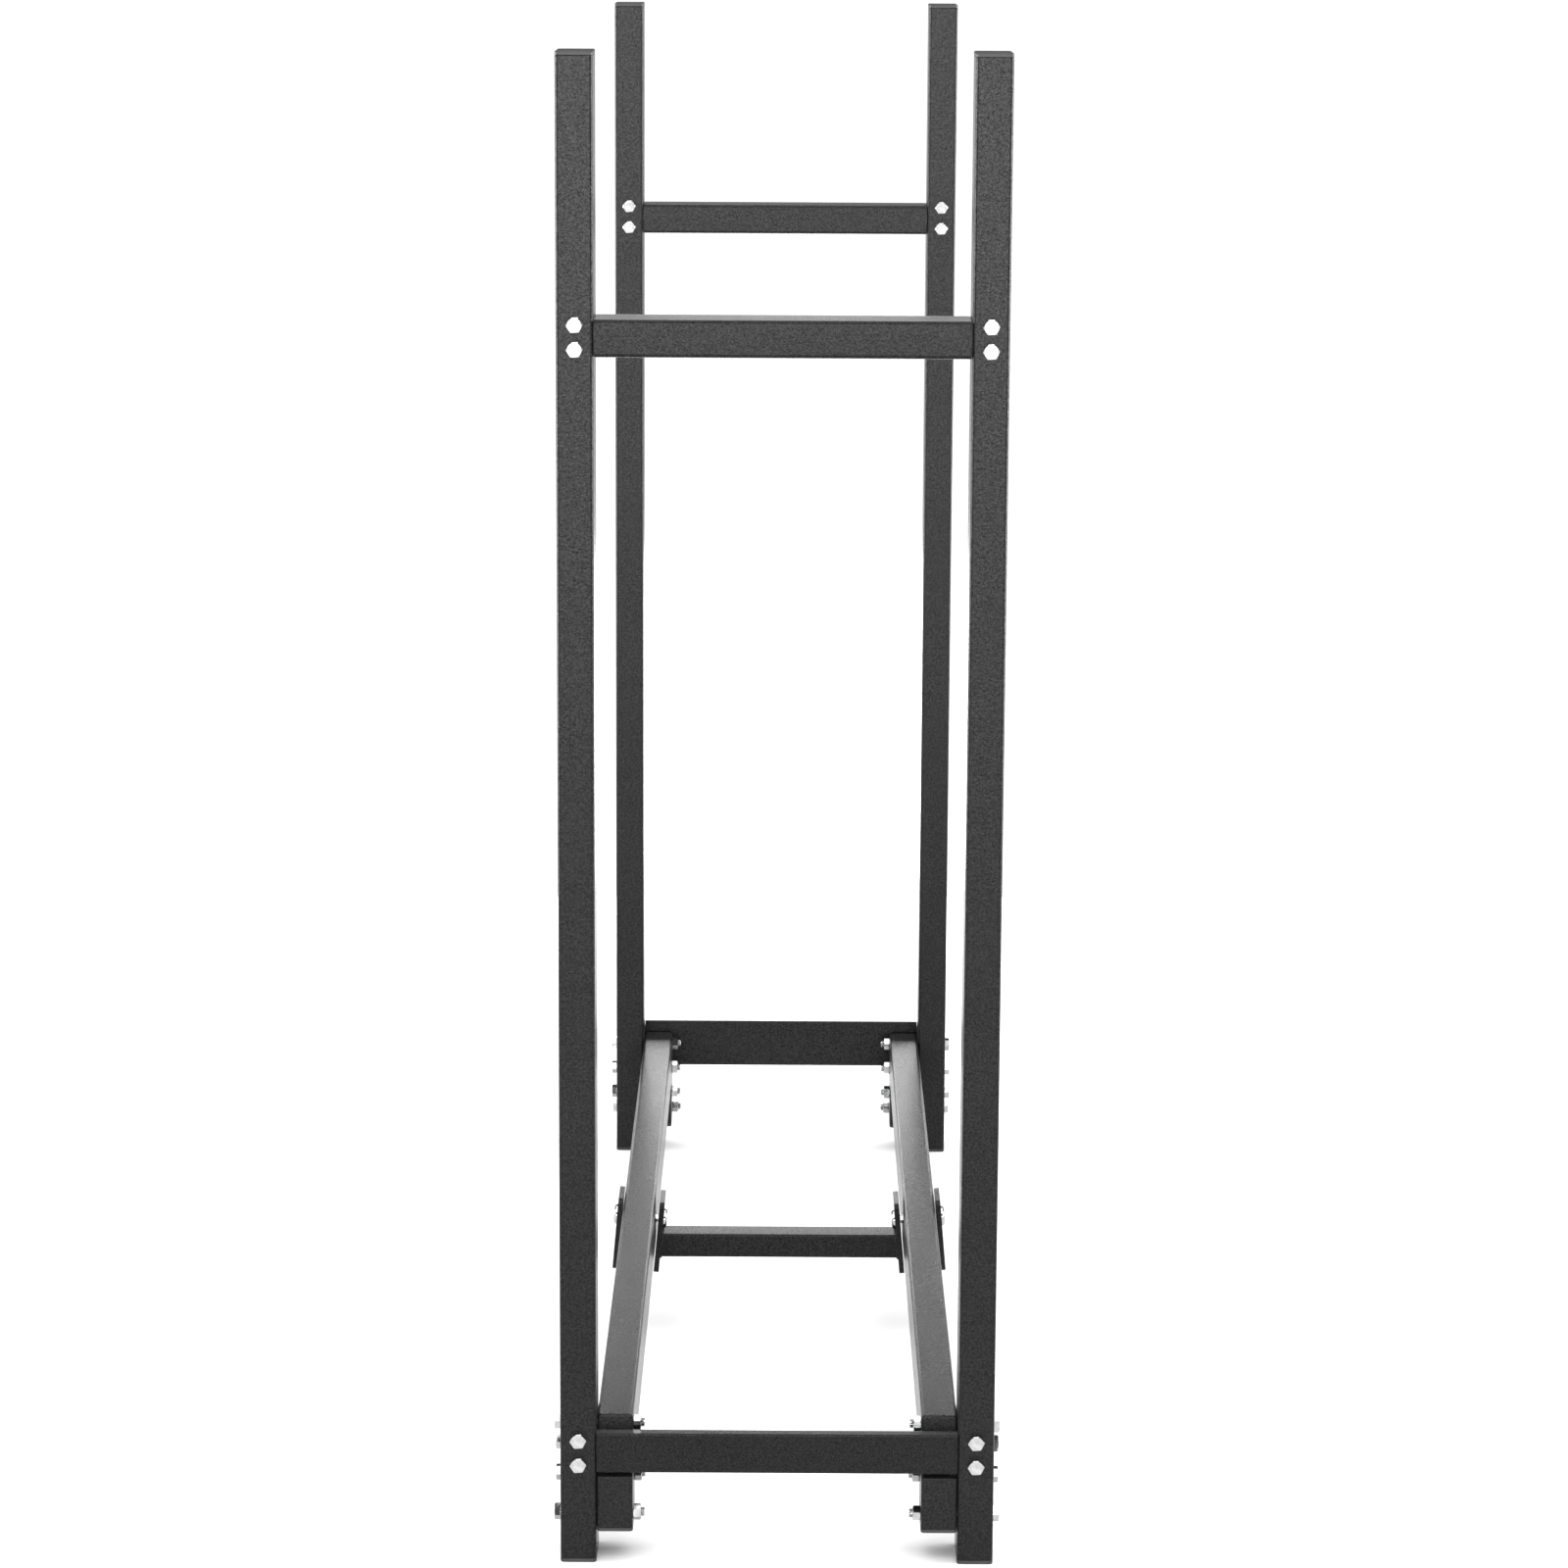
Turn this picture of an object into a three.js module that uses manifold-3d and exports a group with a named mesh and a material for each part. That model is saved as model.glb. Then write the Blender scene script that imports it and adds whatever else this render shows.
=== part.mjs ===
// Firewood log rack: two end frames of steel tube joined by two base rails, bolted together.
//
// Millimetres. +X runs across an end frame, +Y along the rack, +Z up. The origin is on the
// floor, in the middle of the rack. "near" is the end at -Y, "left" is the side at -X.
// Touching pieces keep a gap of FIT between them.

import * as THREE from "three";
import { mergeVertices } from "three/addons/utils/BufferGeometryUtils.js";
import Module from "manifold-3d";

const wasm = await Module();
wasm.setup();

// ---- Driving dimensions ----

const WIDTH = 360; // over the posts, X
const LENGTH = 1320; // over the end frames, Y
const HEIGHT = 1245; // floor to the top of a post, Z
const NARROW = 30; // short side of the rectangular tube
const WIDE = 50; // long side of the rectangular tube
const WALL = 1.5; // tube wall
const CORNER = 3; // outer corner radius of the tube
const FIT = 0.3; // gap between touching pieces

const RAIL_BOTTOM = 75; // underside of a base rail
const RAIL_END_INSET = 12.5; // from the end frame's outer face to the rail's end
const RAIL_FOOT_BOTTOM = 27; // underside of the short foot below each rail end
const UPPER_BAR_BOTTOM = 1005; // underside of the crossbars near the top

const NEAR_LOWER_BAR = { bottom: 78.5, top: 112.5, depth: 12 }; // flat tube
const FAR_LOWER_BAR = { bottom: 86, top: 136, depth: 4 }; // flat bar

const TONGUE = { reach: 24, thick: 4, skin: 0.8 }; // steel tongue of a crossbar inside a post
const TONGUE_HEIGHT = 40; // of the far lower bar's tongue
const TONGUE_WELD = 5; // length of the tongue inside the crossbar's end

const TIE = { depth: 30, height: 23, bottom: 68.5, wall: 1.5, corner: 2 }; // tube between the saddles
const TIE_VENT_RADIUS = 3; // drain hole in the tie's underside, because its ends are welded shut
const SADDLE = { length: 50, below: 43, above: 27, thick: 5, corner: 4 }; // plates beside a rail
const SADDLE_LEAN = THREE.MathUtils.degToRad(5); // the saddle plates lean, feet outwards
const SADDLE_HALF_GAP = 17.4; // from the rail's middle to a plate
const SADDLE_BOLT_RISE = 5; // height of the saddle's bolt above the rail's middle

const CAP = { head: 3, plug: 18, plugWall: 3, clearance: 0.3 }; // plastic caps of the posts

// M8 hexagon bolts, their nuts and the holes they pass through.
const BOLT = { radius: 4, head: 5.3, flats: 12, nut: 6.5, thread: 3 };
const HOLE_RADIUS = 4.5;
const SADDLE_HOLE_RADIUS = 6; // wider, because the saddle leans on its rail

// The saddle bolts have the same low round head on both sides.
const ROUND_HEAD = { radius: 9.5, rim: 1.2, crown: 5.5, height: 3.5 };

// Bolts through a post into the rail and its foot: distance from the outer end face, and height.
const RAIL_BOLTS = [
  { name: "rail_bolt_upper", inset: 22, height: 115 },
  { name: "rail_bolt_lower", inset: 40, height: 92 },
];
const FOOT_BOLTS = [
  { name: "rail_foot_bolt_upper", inset: 40, height: 65 },
  { name: "rail_foot_bolt_lower", inset: 12, height: 40.5 },
];

// Heights of the two bolts that hold each crossbar end.
const NEAR_UPPER_BAR_BOLTS = [1011.5, 1031];
const FAR_UPPER_BAR_BOLTS = [1011.5, 1033.5];
const NEAR_LOWER_BAR_BOLTS = [86, 107];
const FAR_LOWER_BAR_BOLTS = [100.5, 121.5];

const CORNER_SEGMENTS = 1; // curve divisions; an arc takes two steps for each
const ROUND_SIDES = 12;

// ---- Sizes that follow ----

const POST_X = (WIDTH - NARROW) / 2; // middle of a post
const POST_Y = (LENGTH - WIDE) / 2;
const POST_INNER_X = WIDTH / 2 - NARROW; // inner face of a post
const RAIL_X = POST_INNER_X - FIT - NARROW / 2; // middle of a rail
const RAIL_Z = RAIL_BOTTOM + WIDE / 2;
const RAIL_LENGTH = LENGTH - 2 * RAIL_END_INSET;
const BAR_HALF = POST_INNER_X - FIT; // half length of a crossbar

const SIDES = [
  { side: "left", sx: -1 },
  { side: "right", sx: 1 },
];
const ENDS = [
  { end: "near", sy: -1 },
  { end: "far", sy: 1 },
];
const CORNERS = ENDS.flatMap((e) => SIDES.map((s) => ({ ...e, ...s })));

// ---- Materials ----

const MATERIALS = {
  powderCoat: { color: 0x3b3b3c, roughness: 0.55, metalness: 0.25 },
  zinc: { color: 0xd4d6d8, roughness: 0.32, metalness: 0.9 },
  plastic: { color: 0x1c1c1d, roughness: 0.6, metalness: 0 },
};

const rack = new THREE.Group();

// ---- Solids ----

// A closed three.js geometry as a solid that can be joined and cut.
function solid(geometry) {
  const bare = geometry.clone();
  bare.deleteAttribute("normal");
  bare.deleteAttribute("uv");
  const merged = mergeVertices(bare, 1e-4);
  return new wasm.Manifold(
    new wasm.Mesh({
      numProp: 3,
      vertProperties: merged.attributes.position.array,
      triVerts: new Uint32Array(merged.index.array),
    }),
  );
}

// Adds a solid to the rack as a named mesh.
function addMesh(name, shape, material) {
  const { vertProperties, triVerts } = shape.getMesh();
  const geometry = new THREE.BufferGeometry()
    .setAttribute("position", new THREE.BufferAttribute(vertProperties, 3))
    .setIndex(new THREE.BufferAttribute(triVerts, 1));
  geometry.computeVertexNormals();
  const mesh = new THREE.Mesh(geometry, new THREE.MeshStandardMaterial(MATERIALS[material]));
  mesh.name = name;
  rack.add(mesh);
}

// A box between two corners.
function box([x0, y0, z0], [x1, y1, z1]) {
  const geometry = new THREE.BoxGeometry(x1 - x0, y1 - y0, z1 - z0);
  return solid(geometry.translate((x0 + x1) / 2, (y0 + y1) / 2, (z0 + z1) / 2));
}

// A rectangle with rounded corners, centred on the origin.
function roundedRectangle(outline, width, height, radius) {
  const x = width / 2 - radius;
  const y = height / 2 - radius;
  outline.absarc(x, y, radius, 0, Math.PI / 2);
  outline.absarc(-x, y, radius, Math.PI / 2, Math.PI);
  outline.absarc(-x, -y, radius, Math.PI, 1.5 * Math.PI);
  outline.absarc(x, -y, radius, 1.5 * Math.PI, 2 * Math.PI);
  outline.closePath();
  return outline;
}

// Turns a geometry that runs along +Z so that it runs along the named axis instead.
// Along X its own x lies along Z; along Y its own y lies along Z.
function along(axis, geometry) {
  if (axis === "x") geometry.rotateY(Math.PI / 2);
  if (axis === "y") geometry.rotateX(-Math.PI / 2);
  return geometry;
}

// A rounded bar centred on the origin, running along the axis; hollow when it has a wall.
function bar(axis, width, height, length, corner, wall = 0) {
  const outline = roundedRectangle(new THREE.Shape(), width, height, corner);
  if (wall) {
    const inner = Math.max(corner - wall, 0.5);
    const hole = new THREE.Path();
    outline.holes.push(roundedRectangle(hole, width - 2 * wall, height - 2 * wall, inner));
  }
  const geometry = new THREE.ExtrudeGeometry(outline, {
    depth: length,
    bevelEnabled: false,
    curveSegments: CORNER_SEGMENTS,
  });
  return solid(along(axis, geometry.translate(0, 0, -length / 2)));
}

// A round rod along the axis, centred on the point.
function rod(axis, radius, length, [x, y, z]) {
  const geometry = new THREE.CylinderGeometry(radius, radius, length, ROUND_SIDES);
  geometry.rotateX(Math.PI / 2);
  return solid(along(axis, geometry).translate(x, y, z));
}

// A hexagonal prism along +Z from z0 to z1, with two flats facing +Y and -Y.
function hexagon(flats, z0, z1) {
  const radius = flats / 2 / Math.cos(Math.PI / 6);
  const geometry = new THREE.CylinderGeometry(radius, radius, z1 - z0, 6);
  geometry.rotateX(Math.PI / 2).rotateZ(Math.PI / 2);
  return solid(geometry.translate(0, 0, (z0 + z1) / 2));
}

// Cuts a list of solids from a solid.
function cut(shape, tools) {
  return tools.reduce((left, tool) => left.subtract(tool), shape);
}

// Joins a list of solids.
function join(shapes) {
  return shapes.reduce((all, shape) => all.add(shape));
}

// A bolt with its nut, clamping pieces that together are grip thick. The head lies on the
// plane z = 0 and the bolt runs along +Z.
function boltWithNut(grip) {
  const nut = grip + FIT;
  const end = nut + BOLT.nut + BOLT.thread;
  const shank = end + FIT + BOLT.head / 2;
  return join([
    hexagon(BOLT.flats, -FIT - BOLT.head, -FIT),
    rod("z", BOLT.radius, shank, [0, 0, end - shank / 2]),
    hexagon(BOLT.flats, nut, nut + BOLT.nut),
  ]);
}

// A low round head below z = 0: a rim, and above it a cone that narrows to the crown.
function roundHead() {
  const { radius, rim, crown, height } = ROUND_HEAD;
  const profile = [
    [0, -height],
    [crown, -height],
    [radius, -rim],
    [radius, 0],
    [0, 0],
  ].map(([r, z]) => new THREE.Vector2(r, z));
  return solid(new THREE.LatheGeometry(profile, 2 * ROUND_SIDES).rotateX(Math.PI / 2));
}

// A bolt with a round head at both ends of its grip, along +Z from z = 0.
function roundHeadedBolt(grip) {
  const length = grip + 2 * FIT + ROUND_HEAD.height;
  return join([
    roundHead().translate([0, 0, -FIT]),
    roundHead().mirror([0, 0, 1]).translate([0, 0, grip + FIT]),
    rod("z", BOLT.radius, length, [0, 0, grip / 2]),
  ]);
}

// Degrees that turn +Z to the direction a bolt points in.
const POINTING = {
  "+x": [0, 90, 0],
  "-x": [0, -90, 0],
  "+y": [-90, 0, 0],
  "-y": [90, 0, 0],
};

// ---- Posts ----

// The wall of a post that a crossbar's bolts pass through: its outer face, and which way
// the bolts point into the post.
function boltedWall(sy, facing) {
  const outer = sy * POST_Y + (facing * WIDE) / 2;
  return { outer, inward: -facing };
}

// Middle, along Y, of the tongue behind that wall.
function tongueY(wall) {
  return wall.outer + wall.inward * (WALL + TONGUE.skin + TONGUE.thick / 2);
}

// The crossbars: which face of the posts their bolt heads are on, and their tongues' heights.
const CROSSBARS = [
  { bar: "upper_crossbar", end: "near", facing: -1, bolts: NEAR_UPPER_BAR_BOLTS },
  { bar: "upper_crossbar", end: "far", facing: -1, bolts: FAR_UPPER_BAR_BOLTS },
  { bar: "lower_crossbar", end: "near", facing: -1, bolts: NEAR_LOWER_BAR_BOLTS },
  { bar: "lower_crossbar", end: "far", facing: 1, bolts: FAR_LOWER_BAR_BOLTS },
].map((c) => {
  const sy = ENDS.find((e) => e.end === c.end).sy;
  return { ...c, sy, wall: boltedWall(sy, c.facing) };
});

// Lower and upper edge of a crossbar's tongue.
function tongueSpan({ bar: name, end }) {
  if (name === "upper_crossbar") {
    return [UPPER_BAR_BOTTOM + WALL - 0.5, UPPER_BAR_BOTTOM + NARROW - WALL + 0.5];
  }
  if (end === "near") return [NEAR_LOWER_BAR.bottom + 1, NEAR_LOWER_BAR.top - 1];
  const middle = (FAR_LOWER_BAR.bottom + FAR_LOWER_BAR.top) / 2;
  return [middle - TONGUE_HEIGHT / 2, middle + TONGUE_HEIGHT / 2];
}

for (const { end, sy, side, sx } of CORNERS) {
  const height = HEIGHT - 2 * (CAP.head + FIT);
  const tube = bar("z", NARROW, WIDE, height, CORNER, WALL);
  const tools = [];
  for (const crossbar of CROSSBARS.filter((c) => c.end === end)) {
    const { outer } = crossbar.wall;
    for (const z of crossbar.bolts) {
      tools.push(rod("y", HOLE_RADIUS, 4 * WALL, [sx * POST_X, outer, z]));
    }
    const y = tongueY(crossbar.wall);
    const [low, high] = tongueSpan(crossbar);
    const half = TONGUE.thick / 2 + FIT;
    const [x0, x1] = [POST_INNER_X - 1, POST_INNER_X + 2 * WALL].map((x) => sx * x);
    tools.push(
      box(
        [Math.min(x0, x1), y - half, low - FIT],
        [Math.max(x0, x1), y + half, high + FIT],
      ),
    );
  }
  for (const { inset, height: z } of [...RAIL_BOLTS, ...FOOT_BOLTS]) {
    const y = sy * (LENGTH / 2 - inset);
    tools.push(rod("x", HOLE_RADIUS, 2 * NARROW, [sx * POST_X, y, z]));
  }
  const placed = tube.translate([sx * POST_X, sy * POST_Y, HEIGHT / 2]);
  addMesh(`post_${end}_${side}`, cut(placed, tools), "powderCoat");
}

// ---- Caps of the posts ----

// A cap with its head below z = 0 and a hollow plug above it.
function postCap() {
  const head = bar("z", NARROW, WIDE, CAP.head, CORNER).translate([0, 0, -CAP.head / 2]);
  const inset = 2 * (WALL + CAP.clearance);
  const [w, d] = [NARROW - inset, WIDE - inset];
  const plug = bar("z", w, d, CAP.plug, CORNER - WALL, CAP.plugWall);
  return head.add(plug.translate([0, 0, CAP.plug / 2 - 0.5]));
}

for (const { end, sy, side, sx } of CORNERS) {
  const place = [sx * POST_X, sy * POST_Y];
  const foot = postCap().translate([...place, CAP.head]);
  const top = postCap().rotate([180, 0, 0]).translate([...place, HEIGHT - CAP.head]);
  addMesh(`post_foot_cap_${end}_${side}`, foot, "plastic");
  addMesh(`post_top_cap_${end}_${side}`, top, "plastic");
}

// ---- Base rails and the short feet under their ends ----

for (const { side, sx } of SIDES) {
  const rail = bar("y", NARROW, WIDE, RAIL_LENGTH, CORNER, WALL);
  const tools = ENDS.flatMap(({ sy }) =>
    RAIL_BOLTS.map(({ inset, height }) => {
      const y = sy * (LENGTH / 2 - inset);
      return rod("x", HOLE_RADIUS, 2 * NARROW, [sx * RAIL_X, y, height]);
    }),
  );
  const saddleBolt = [sx * RAIL_X, 0, RAIL_Z + SADDLE_BOLT_RISE];
  tools.push(rod("x", SADDLE_HOLE_RADIUS, 2 * NARROW, saddleBolt));
  const placed = rail.translate([sx * RAIL_X, 0, RAIL_Z]);
  addMesh(`base_rail_${side}`, cut(placed, tools), "powderCoat");
}

for (const { end, sy, side, sx } of CORNERS) {
  const height = RAIL_BOTTOM - FIT - RAIL_FOOT_BOTTOM;
  const tube = bar("z", NARROW, WIDE, height, CORNER, WALL).translate([0, 0, height / 2]);
  const sole = bar("z", NARROW, WIDE, CAP.head, CORNER).translate([0, 0, CAP.head / 2]);
  const place = [sx * RAIL_X, sy * POST_Y, RAIL_FOOT_BOTTOM];
  const tools = FOOT_BOLTS.map(({ inset, height: z }) => {
    const y = sy * (LENGTH / 2 - inset);
    return rod("x", HOLE_RADIUS, 2 * NARROW, [sx * RAIL_X, y, z]);
  });
  const foot = cut(tube.add(sole).translate(place), tools);
  addMesh(`rail_foot_${end}_${side}`, foot, "powderCoat");
}

// ---- Crossbars, with a bolted tongue at each end ----

// The part of a crossbar between the posts.
function crossbarBody({ bar: name, end, sy, wall }) {
  const length = 2 * BAR_HALF;
  if (name === "upper_crossbar") {
    const z = UPPER_BAR_BOTTOM + NARROW / 2;
    return bar("x", NARROW, WIDE, length, CORNER, WALL).translate([0, sy * POST_Y, z]);
  }
  const { bottom, top, depth } = end === "near" ? NEAR_LOWER_BAR : FAR_LOWER_BAR;
  const z = (bottom + top) / 2;
  if (end === "near") {
    const y = wall.outer + (wall.inward * depth) / 2;
    return bar("x", top - bottom, depth, length, CORNER, WALL).translate([0, y, z]);
  }
  return bar("x", top - bottom, depth, length, depth / 4).translate([0, tongueY(wall), z]);
}

for (const crossbar of CROSSBARS) {
  const y = tongueY(crossbar.wall);
  const half = TONGUE.thick / 2;
  const [low, high] = tongueSpan(crossbar);
  const shapes = [crossbarBody(crossbar)];
  const tools = [];
  for (const { sx } of SIDES) {
    const [x0, x1] = [BAR_HALF - TONGUE_WELD, BAR_HALF + TONGUE.reach].map((x) => sx * x);
    shapes.push(
      box([Math.min(x0, x1), y - half, low], [Math.max(x0, x1), y + half, high]),
    );
    for (const z of crossbar.bolts) {
      tools.push(rod("y", HOLE_RADIUS, 3 * TONGUE.thick, [sx * POST_X, y, z]));
    }
  }
  const name = `${crossbar.bar}_${crossbar.end}`;
  addMesh(name, cut(join(shapes), tools), "powderCoat");
}

// ---- Middle tie, whose saddles hold the two rails ----

// Places a shape made round a rail's middle: x outwards, leaning with the saddle.
function leaning(shape, sx) {
  const degrees = THREE.MathUtils.radToDeg(SADDLE_LEAN);
  return shape.rotate([0, -sx * degrees, 0]).translate([sx * RAIL_X, 0, RAIL_Z]);
}

// A saddle plate whose inner face is SADDLE_HALF_GAP from the rail's middle. outward is
// 1 for the plate on the rail's outer side and -1 for the one on its inner side.
function saddlePlate(sx, outward) {
  const height = SADDLE.above + SADDLE.below;
  const x = sx * outward * (SADDLE_HALF_GAP + SADDLE.thick / 2);
  const z = (SADDLE.above - SADDLE.below) / 2;
  const plate = bar("x", height, SADDLE.length, SADDLE.thick, SADDLE.corner);
  const hole = rod("x", HOLE_RADIUS, 3 * SADDLE.thick, [x, 0, SADDLE_BOLT_RISE]);
  return leaning(plate.translate([x, 0, z]).subtract(hole), sx);
}

const tieMiddle = TIE.bottom + TIE.height / 2;
const tieLean = (RAIL_Z - tieMiddle) * Math.tan(SADDLE_LEAN);
const tieHalf = RAIL_X - SADDLE_HALF_GAP - SADDLE.thick / 2 + tieLean;
const tieTube = bar("x", TIE.height, TIE.depth, 2 * tieHalf, TIE.corner, TIE.wall);
const tieVent = rod("z", TIE_VENT_RADIUS, 4 * TIE.wall, [0, 0, -TIE.height / 2]);
addMesh(
  "mid_tie",
  join([
    tieTube.subtract(tieVent).translate([0, 0, tieMiddle]),
    ...SIDES.map(({ sx }) => saddlePlate(sx, -1)),
  ]),
  "powderCoat",
);
for (const { side, sx } of SIDES) {
  addMesh(`saddle_plate_${side}`, saddlePlate(sx, 1), "powderCoat");
}

// ---- Bolts ----

for (const { end, sy, side, sx } of CORNERS) {
  const direction = sx > 0 ? "-x" : "+x";
  for (const { name, inset, height } of [...RAIL_BOLTS, ...FOOT_BOLTS]) {
    const bolt = boltWithNut(2 * NARROW + FIT).rotate(POINTING[direction]);
    const place = [(sx * WIDTH) / 2, sy * (LENGTH / 2 - inset), height];
    addMesh(`${name}_${end}_${side}`, bolt.translate(place), "zinc");
  }
}

for (const { bar: name, end, bolts, wall } of CROSSBARS) {
  const direction = wall.inward > 0 ? "+y" : "-y";
  const grip = WALL + TONGUE.skin + TONGUE.thick;
  for (const { side, sx } of SIDES) {
    bolts.forEach((z, i) => {
      const bolt = boltWithNut(grip).rotate(POINTING[direction]);
      const level = i ? "high" : "low";
      const place = [sx * POST_X, wall.outer, z];
      addMesh(`${name}_bolt_${level}_${end}_${side}`, bolt.translate(place), "zinc");
    });
  }
}

for (const { side, sx } of SIDES) {
  const reach = SADDLE_HALF_GAP + SADDLE.thick;
  const direction = sx > 0 ? "-x" : "+x";
  const bolt = roundHeadedBolt(2 * reach).rotate(POINTING[direction]);
  const placed = bolt.translate([sx * reach, 0, SADDLE_BOLT_RISE]);
  addMesh(`saddle_bolt_${side}`, leaning(placed, sx), "zinc");
}

export default rack;
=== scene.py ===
"""Firewood log rack in powder-coated steel tube: the looks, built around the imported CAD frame.

Metres. +X runs across an end frame, +Y along the rack away from the camera, +Z up. The
places and outer sizes of the pieces come from the CAD nodes' boxes. Every node is replaced
by a finer mesh: tubes with drawn corners and drilled holes, moulded caps, chamfered bolts
and nuts with a rolled thread, and weld beads.
"""

import math

import bmesh
import bpy
from mathutils import Matrix, Vector


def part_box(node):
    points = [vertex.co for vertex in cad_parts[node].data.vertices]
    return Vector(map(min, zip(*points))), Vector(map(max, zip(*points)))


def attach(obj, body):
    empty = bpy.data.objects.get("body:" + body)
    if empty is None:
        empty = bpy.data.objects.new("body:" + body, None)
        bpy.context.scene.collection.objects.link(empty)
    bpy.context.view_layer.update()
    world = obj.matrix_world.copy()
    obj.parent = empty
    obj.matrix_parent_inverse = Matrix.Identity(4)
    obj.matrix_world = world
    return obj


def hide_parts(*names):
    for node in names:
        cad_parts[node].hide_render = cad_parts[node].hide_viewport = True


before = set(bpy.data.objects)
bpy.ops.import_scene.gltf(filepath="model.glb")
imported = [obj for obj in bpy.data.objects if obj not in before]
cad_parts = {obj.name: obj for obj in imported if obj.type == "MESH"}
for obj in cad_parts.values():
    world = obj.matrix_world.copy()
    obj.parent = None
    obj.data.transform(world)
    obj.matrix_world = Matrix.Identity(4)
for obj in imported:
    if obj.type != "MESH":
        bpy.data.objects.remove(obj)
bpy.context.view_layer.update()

MM = 0.001

# ---- Driving dimensions, as in the CAD part ----

WALL = 1.5 * MM  # wall of every tube
CORNER = 3 * MM  # outer corner radius of the rectangular tube
FIT = 0.3 * MM  # gap that the CAD keeps between touching pieces
EDGE = 0.35 * MM  # small rounding of cut ends and edges

TONGUE_THICK = 4 * MM  # steel tongue of a crossbar inside a post
TONGUE_SKIN = 0.8 * MM  # from the post's wall to the tongue
TONGUE_REACH = 24 * MM  # past the crossbar's end
TONGUE_WELD = 5 * MM  # inside the crossbar's end
TONGUE_HEIGHT = 40 * MM  # of the far lower bar's tongue

TIE_DEPTH = 30 * MM
TIE_BOTTOM = 68.5 * MM
TIE_HEIGHT = 23 * MM
TIE_CORNER = 2 * MM
TIE_VENT_RADIUS = 3 * MM
PLATE_THICK = 5 * MM
PLATE_LENGTH = 50 * MM
PLATE_BELOW = 43 * MM  # below the rail's middle
PLATE_ABOVE = 27 * MM
PLATE_CORNER = 4 * MM
PLATE_GAP = 17.4 * MM  # from the rail's middle to a plate
PLATE_LEAN = math.radians(5)  # lower ends outwards
SADDLE_BOLT_RISE = 5 * MM
SADDLE_HOLE_RADIUS = 6 * MM

BOLT_RADIUS = 4 * MM
HOLE_RADIUS = 4.5 * MM
FLATS = 12 * MM  # across the flats of a head or a nut
HEAD_HEIGHT = 5.3 * MM
NUT_HEIGHT = 6.5 * MM
THREAD_SHOWN = 3 * MM  # thread past the nut
ROUND_HEAD_RADIUS = 9.5 * MM  # of the saddles' bolts
ROUND_HEAD_HEIGHT = 3.5 * MM
HEAD_TURN = math.radians(4)  # the crossbars' heads stop a little off level

SIDES = {"left": -1, "right": 1}
ENDS = ("near", "far")
CORNERS = [(end, side) for end in ENDS for side in SIDES]

X, Y, Z = Vector((1, 0, 0)), Vector((0, 1, 0)), Vector((0, 0, 1))
SHARP = math.radians(24)  # edges that turn more than this stay crisp


# ---- Materials ----


def new_material(name):
    """A node material, its Principled shader, and a function that adds linked nodes."""
    material = bpy.data.materials.new(name)
    material.use_nodes = True
    tree = material.node_tree
    shader = tree.nodes["Principled BSDF"]

    def add(kind, **inputs):
        node = tree.nodes.new(kind)
        for key, value in inputs.items():
            if isinstance(value, bpy.types.NodeSocket):
                tree.links.new(value, node.inputs[key])
            else:
                node.inputs[key].default_value = value
        return node

    return material, shader, add


def noise(add, scale, detail, rough=0.5):
    """Noise in the piece's own coordinates, scale cells to the metre."""
    place = add("ShaderNodeTexCoord").outputs["Object"]
    node = add("ShaderNodeTexNoise", Vector=place, Scale=scale, Detail=detail, Roughness=rough)
    return node.outputs["Fac"]


def spread(add, value, low, high, start=0.3, stop=0.7):
    """value from start to stop, stretched to low to high."""
    node = add("ShaderNodeMapRange", Value=value)
    node.inputs["From Min"].default_value = start
    node.inputs["From Max"].default_value = stop
    node.inputs["To Min"].default_value = low
    node.inputs["To Max"].default_value = high
    return node.outputs["Result"]


RAMP_START, RAMP_STOP = 0.32, 0.68  # noise values of a colour ramp's two ends


def between(add, value, low, high):
    """A colour between low and high."""
    node = add("ShaderNodeValToRGB", Fac=value)
    ramp = node.color_ramp.elements
    ramp[0].position, ramp[1].position = RAMP_START, RAMP_STOP
    ramp[0].color, ramp[1].color = (*low, 1), (*high, 1)
    return node.outputs["Color"]


def grey(value):
    """A neutral grey with a trace of blue."""
    return (value, value, value * 1.03)


MIX_AMOUNT, MIX_FIRST, MIX_SECOND = 0, 6, 7  # inputs of a Mix node set to colours
MIX_RESULT = 2  # its output


def blend_colours(add, amount, first, second):
    """first with an amount of second laid over it."""
    node = add("ShaderNodeMix")
    node.data_type, node.blend_type = "RGBA", "MIX"
    tree = node.id_data
    for index, value in ((MIX_AMOUNT, amount), (MIX_FIRST, first), (MIX_SECOND, second)):
        if isinstance(value, bpy.types.NodeSocket):
            tree.links.new(value, node.inputs[index])
        else:
            node.inputs[index].default_value = value
    return node.outputs[MIX_RESULT]


def sum_of(add, first, second, share):
    """first + share * second."""
    node = add("ShaderNodeMath")
    node.operation = "MULTIPLY_ADD"
    tree = node.id_data
    tree.links.new(second, node.inputs[0])
    node.inputs[1].default_value = share
    tree.links.new(first, node.inputs[2])
    return node.outputs[0]


def bump(add, height, strength, distance):
    """A normal that follows a height, whose full range stands for distance."""
    node = add("ShaderNodeBump", Height=height, Strength=strength, Distance=distance)
    return node.outputs["Normal"]


def finish_with(shader, **inputs):
    """Sets the shader's sockets: a number on the socket itself, or a link."""
    for key, value in inputs.items():
        socket = shader.inputs[key.replace("_", " ")]
        if isinstance(value, bpy.types.NodeSocket):
            shader.id_data.links.new(value, socket)
        else:
            socket.default_value = value


GLOSS_IN_PITS, GLOSS_ON_TOPS = 0.4, 1.6  # of the coat's mean gloss


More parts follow.
